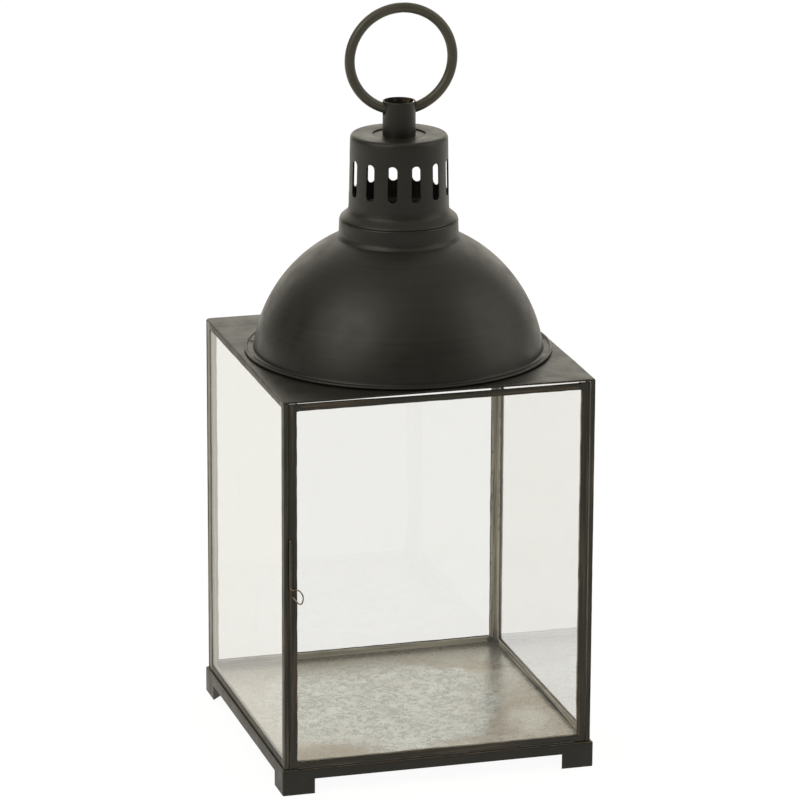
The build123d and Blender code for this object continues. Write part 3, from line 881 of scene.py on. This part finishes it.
def build_corner_solder():
    """Solder between the posts, the roof and the tray.

    None faces the front at the hinge, where the door's channel sweeps past. The lumps at the front
    left reach a little into the shut door's latch channel.
    """
    half = ROOF_HIGH.x
    on_tray = TRAY_TOP + 0.5
    blobs = []
    for sx in (-1, 1):
        for sy in (-1, 1):
            upper = (sx * (half - 0.35), sy * (half - 1.8), ROOF_LOW.z - 0.8)
            lower = (sx * (half - 0.3), sy * (half - 2.0), on_tray)
            blobs.append((upper, (sx, 0, 0), (0, 1, 0), 1.5, 1.9, 0.50))
            blobs.append((lower, (sx, 0, 0), (0, 1, 0), 1.0, 1.7, 0.7))
            if sx > 0 > sy:
                continue
            upper = (sx * (half - 1.6), sy * (half - 0.35), ROOF_LOW.z - 0.7)
            lower = (sx * (half - 1.6), sy * (half - 0.3), on_tray)
            blobs.append((upper, (0, sy, 0), (1, 0, 0), 1.5, 1.7, 0.50))
            blobs.append((lower, (0, sy, 0), (1, 0, 0), 1.0, 1.7, 0.7))
    build_solder("corner_solder", "lantern", blobs)


def build_tacks():
    """Lumps of solder that hold the dome's flange."""
    top = ROOF_TOP + DOME_SHEET
    blobs = []
    for azimuth in TACK_TURNS:
        a = radians(azimuth)
        out, side = Vector((cos(a), sin(a), 0)), Vector((-sin(a), cos(a), 0))
        spot = out * TACK_R + Vector((TOP_X, 0, top - 0.1))
        blobs.append((spot, (0, 0, 1), side, 1.5, 2.1, 0.75))
    mesh = solder_mesh("flange_solder", blobs, [9.0, 10.0, 11.0], 0.25)
    place(mesh, "lantern", SOLDER_METAL, stands_for=["dome_tacks"])


# ---- latch ---------------------------------------------------------------------------
def build_latch():
    """Bent wire with a peened head, turning in its sleeve on the door."""
    x, y = (SLEEVE_LOW.x + SLEEVE_HIGH.x) / 2, (SLEEVE_LOW.y + SLEEVE_HIGH.y) / 2
    head = SLEEVE_HIGH.z + 1.05
    route = [(0, head), (0, 150), (0, 139), (0.1, 137), (1.2, 136.1), (3.6, 136.3), (6.0, 135.4),
             (7.9, 132.6), (8.4, 130.0), (7.7, 127.2), (6.4, 126.3), (5.0, 127.2), (3.0, 129.8),
             (1.1, 131.9)]
    curve = bpy.data.curves.new("bent_latch_wire", "CURVE")
    curve.dimensions = "3D"
    curve.bevel_depth = 0.45 * MM
    curve.bevel_resolution = 5
    curve.resolution_u = 10
    curve.use_fill_caps = True
    line = curve.splines.new("NURBS")
    line.points.add(len(route) - 1)
    for point, (across, z) in zip(line.points, route):
        point.co = ((x + across) * MM, y * MM, z * MM, 1.0)
    line.order_u = 3
    line.use_endpoint_u = True
    wire = bpy.data.objects.new("bent_latch_wire", curve)
    scene.collection.objects.link(wire)
    curve.materials.append(WIRE)
    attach(wire, "latch")
    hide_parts("latch_wire")
    turns = [2 * pi * k / 16 for k in range(16)]
    profile = ((0.05, -0.7), (0.6, -0.55), (0.95, -0.15), (1.0, 0.1), (0.8, 0.5), (0.45, 0.68),
               (0.05, 0.72))
    knob = [[(x + 0.72 * share * cos(a), y + 0.72 * share * sin(a), head + rise) for a in turns]
            for share, rise in profile]
    mesh = make_mesh("latch_wire_head", *loft(knob), sharp=60)
    place(mesh, "latch", WIRE, slot="latch_wire")


# ---- carried-over CAD nodes ----------------------------------------------------------
def dress(node, material):
    """Give a CAD node that stays in view its material."""
    mesh = frame["nodes"][node].data
    mesh.materials.clear()
    mesh.materials.append(material)


def dress_nodes():
    for node in frame["nodes"]:
        if node.endswith("_glass"):
            dress(node, GLASS)
    dress("floor_plate", ZINC)
    for node in ("upper_hinge_pin", "lower_hinge_pin", "latch_sleeve"):
        dress(node, ROD_METAL)


# ---- studio --------------------------------------------------------------------------
YAW, PITCH, ROLL = radians(15.918), radians(16.319), radians(0.243)
TARGET = Vector((0, 0, 228.69))
DISTANCE = 3076.8
LENS = 215.64
AIM_RIGHT, AIM_DOWN = 2.25, 4.98


def build_camera():
    """Camera at a distance from the target, turned a little aside from it and rolled."""
    back = Vector((-sin(YAW) * cos(PITCH), -cos(YAW) * cos(PITCH), sin(PITCH)))
    forward = -back
    right = forward.cross(Vector((0, 0, 1))).normalized()
    up = right.cross(forward)
    spot = TARGET + back * DISTANCE
    aim = (TARGET + right * AIM_RIGHT - up * AIM_DOWN - spot).normalized()
    side = aim.cross(Vector((0, 0, 1))).normalized()
    top = side.cross(aim)
    x_axis = side * cos(ROLL) + top * sin(ROLL)
    y_axis = top * cos(ROLL) - side * sin(ROLL)
    data = bpy.data.cameras.new("camera")
    data.lens = LENS
    data.sensor_width = 36.0
    data.clip_start, data.clip_end = 0.05, 100.0
    camera = bpy.data.objects.new("camera", data)
    scene.collection.objects.link(camera)
    turn = Matrix((x_axis, y_axis, -aim)).transposed()
    camera.matrix_world = Matrix.Translation(spot * MM) @ turn.to_4x4()
    scene.camera = camera


def build_floor():
    """Pale studio floor, a large disc that is clear from below.

    Its light on the object is warm and stronger towards the back. The camera sees it as an even
    near-white, whatever light it gives.
    """
    turns = [2 * pi * k / 96 for k in range(96)]
    loops = [[(r * cos(a), r * sin(a), -0.05) for a in turns] for r in (8000, 3000, 900, 300)]
    verts, faces = loft(loops, caps=False)
    faces.append(tuple(range(3 * 96, 4 * 96)))
    mesh = make_mesh("studio_floor", verts, faces)
    if mesh.polygons[0].normal.z < 0:
        mesh.flip_normals()
    s = Shader("pale_floor")
    seen = s.add("ShaderNodeLightPath").outputs["Is Camera Ray"]
    depth = s.add("ShaderNodeSeparateXYZ", Vector=s.place).outputs[1]
    level = s.span(depth, -0.35, 0.25, 0.46, 0.80)
    warm = s.mix(seen, rgb(1.0, 0.960, 0.855), rgb(1, 1, 1))
    paper = s.add("ShaderNodeBsdfDiffuse")
    paper.inputs["Color"].default_value = rgb(0.10, 0.10, 0.10)
    glow = s.add("ShaderNodeEmission", Color=warm)
    chosen = s.add("ShaderNodeMix", {"data_type": "FLOAT"})
    s.put(chosen, "0", seen)
    s.put(chosen, "2", level)
    s.put(chosen, "3", 0.95)
    s.put(glow, "Strength", chosen.outputs[0])
    both = s.add("ShaderNodeAddShader")
    s.put(both, "0", paper.outputs[0])
    s.put(both, "1", glow.outputs[0])
    under = s.add("ShaderNodeNewGeometry").outputs["Backfacing"]
    sheet = s.add("ShaderNodeMixShader")
    s.put(sheet, "0", under)
    s.put(sheet, "1", both.outputs[0])
    s.put(sheet, "2", s.add("ShaderNodeBsdfTransparent").outputs[0])
    mesh.materials.append(s.finish(sheet.outputs[0]))
    floor = bpy.data.objects.new("studio_floor", mesh)
    scene.collection.objects.link(floor)


def build_world():
    """Soft warm light from the left, the right and behind, dim at the front.

    The camera sees an even white backdrop in every direction, whatever light comes from there.
    """
    world = bpy.data.worlds.new("studio")
    world.use_nodes = True
    scene.world = world
    tree = world.node_tree
    tree.nodes.clear()

    def add(kind, **settings):
        node = tree.nodes.new(kind)
        for key, value in settings.items():
            setattr(node, key, value)
        return node

    def towards(direction, low, high, to_low, to_high):
        dot = add("ShaderNodeVectorMath", operation="DOT_PRODUCT")
        tree.links.new(coordinates.outputs["Generated"], dot.inputs[0])
        dot.inputs[1].default_value = Vector(direction).normalized()
        spread = add("ShaderNodeMapRange", interpolation_type="SMOOTHSTEP")
        tree.links.new(dot.outputs["Value"], spread.inputs["Value"])
        limits = {"From Min": low, "From Max": high, "To Min": to_low, "To Max": to_high}
        for key, number in limits.items():
            spread.inputs[key].default_value = number
        return spread.outputs["Result"]

    def combine(operation, a, b):
        node = add("ShaderNodeMath", operation=operation)
        for k, value in enumerate((a, b)):
            if isinstance(value, bpy.types.NodeSocket):
                tree.links.new(value, node.inputs[k])
            else:
                node.inputs[k].default_value = value
        return node.outputs[0]

    def heading(azimuth, elevation):
        """Direction at degrees from the front, positive to the right, and degrees up."""
        a, e = radians(azimuth), radians(elevation)
        return (sin(a) * cos(e), -cos(a) * cos(e), sin(e))

    coordinates = add("ShaderNodeTexCoord")
    light = towards((0, 0, 1), 0.25, 1.0, 0.20, 0.50)
    lobes = ((-66, 38, 0.82, 0.985, 1.45), (-62, 12, 0.86, 0.985, 0.34),
             (75, 20, 0.78, 0.985, 0.98), (164, 12, 0.62, 0.95, 1.05))
    for azimuth, elevation, low, high, level in lobes:
        light = combine("ADD", light, towards(heading(azimuth, elevation), low, high, 0.0, level))
    seen = add("ShaderNodeLightPath").outputs["Is Camera Ray"]
    level = add("ShaderNodeMix", data_type="FLOAT")
    tree.links.new(seen, level.inputs[0])
    tree.links.new(light, level.inputs[2])
    level.inputs[3].default_value = 1.0
    tint = add("ShaderNodeMix", data_type="RGBA")
    tree.links.new(seen, tint.inputs[0])
    tint.inputs[6].default_value = rgb(1.0, 0.955, 0.835)
    tint.inputs[7].default_value = rgb(1, 1, 1)
    background = add("ShaderNodeBackground")
    tree.links.new(tint.outputs[2], background.inputs["Color"])
    tree.links.new(level.outputs[0], background.inputs["Strength"])
    output = add("ShaderNodeOutputWorld")
    tree.links.new(background.outputs[0], output.inputs["Surface"])


# ---- assembly ------------------------------------------------------------------------
build_dome()
build_collar()
build_chimney()
build_disc()
build_tube()
build_ring()
build_roof()
build_tray()
for foot, sx, sy in (("foot_front_left", -1, -1), ("foot_front_right", 1, -1),
                     ("foot_back_left", -1, 1), ("foot_back_right", 1, 1)):
    build_foot(foot, sx, sy)
build_panels()
build_corner_solder()
build_tacks()
build_latch()
dress_nodes()
build_floor()
build_camera()
build_world()
scene.view_settings.view_transform = "Standard"
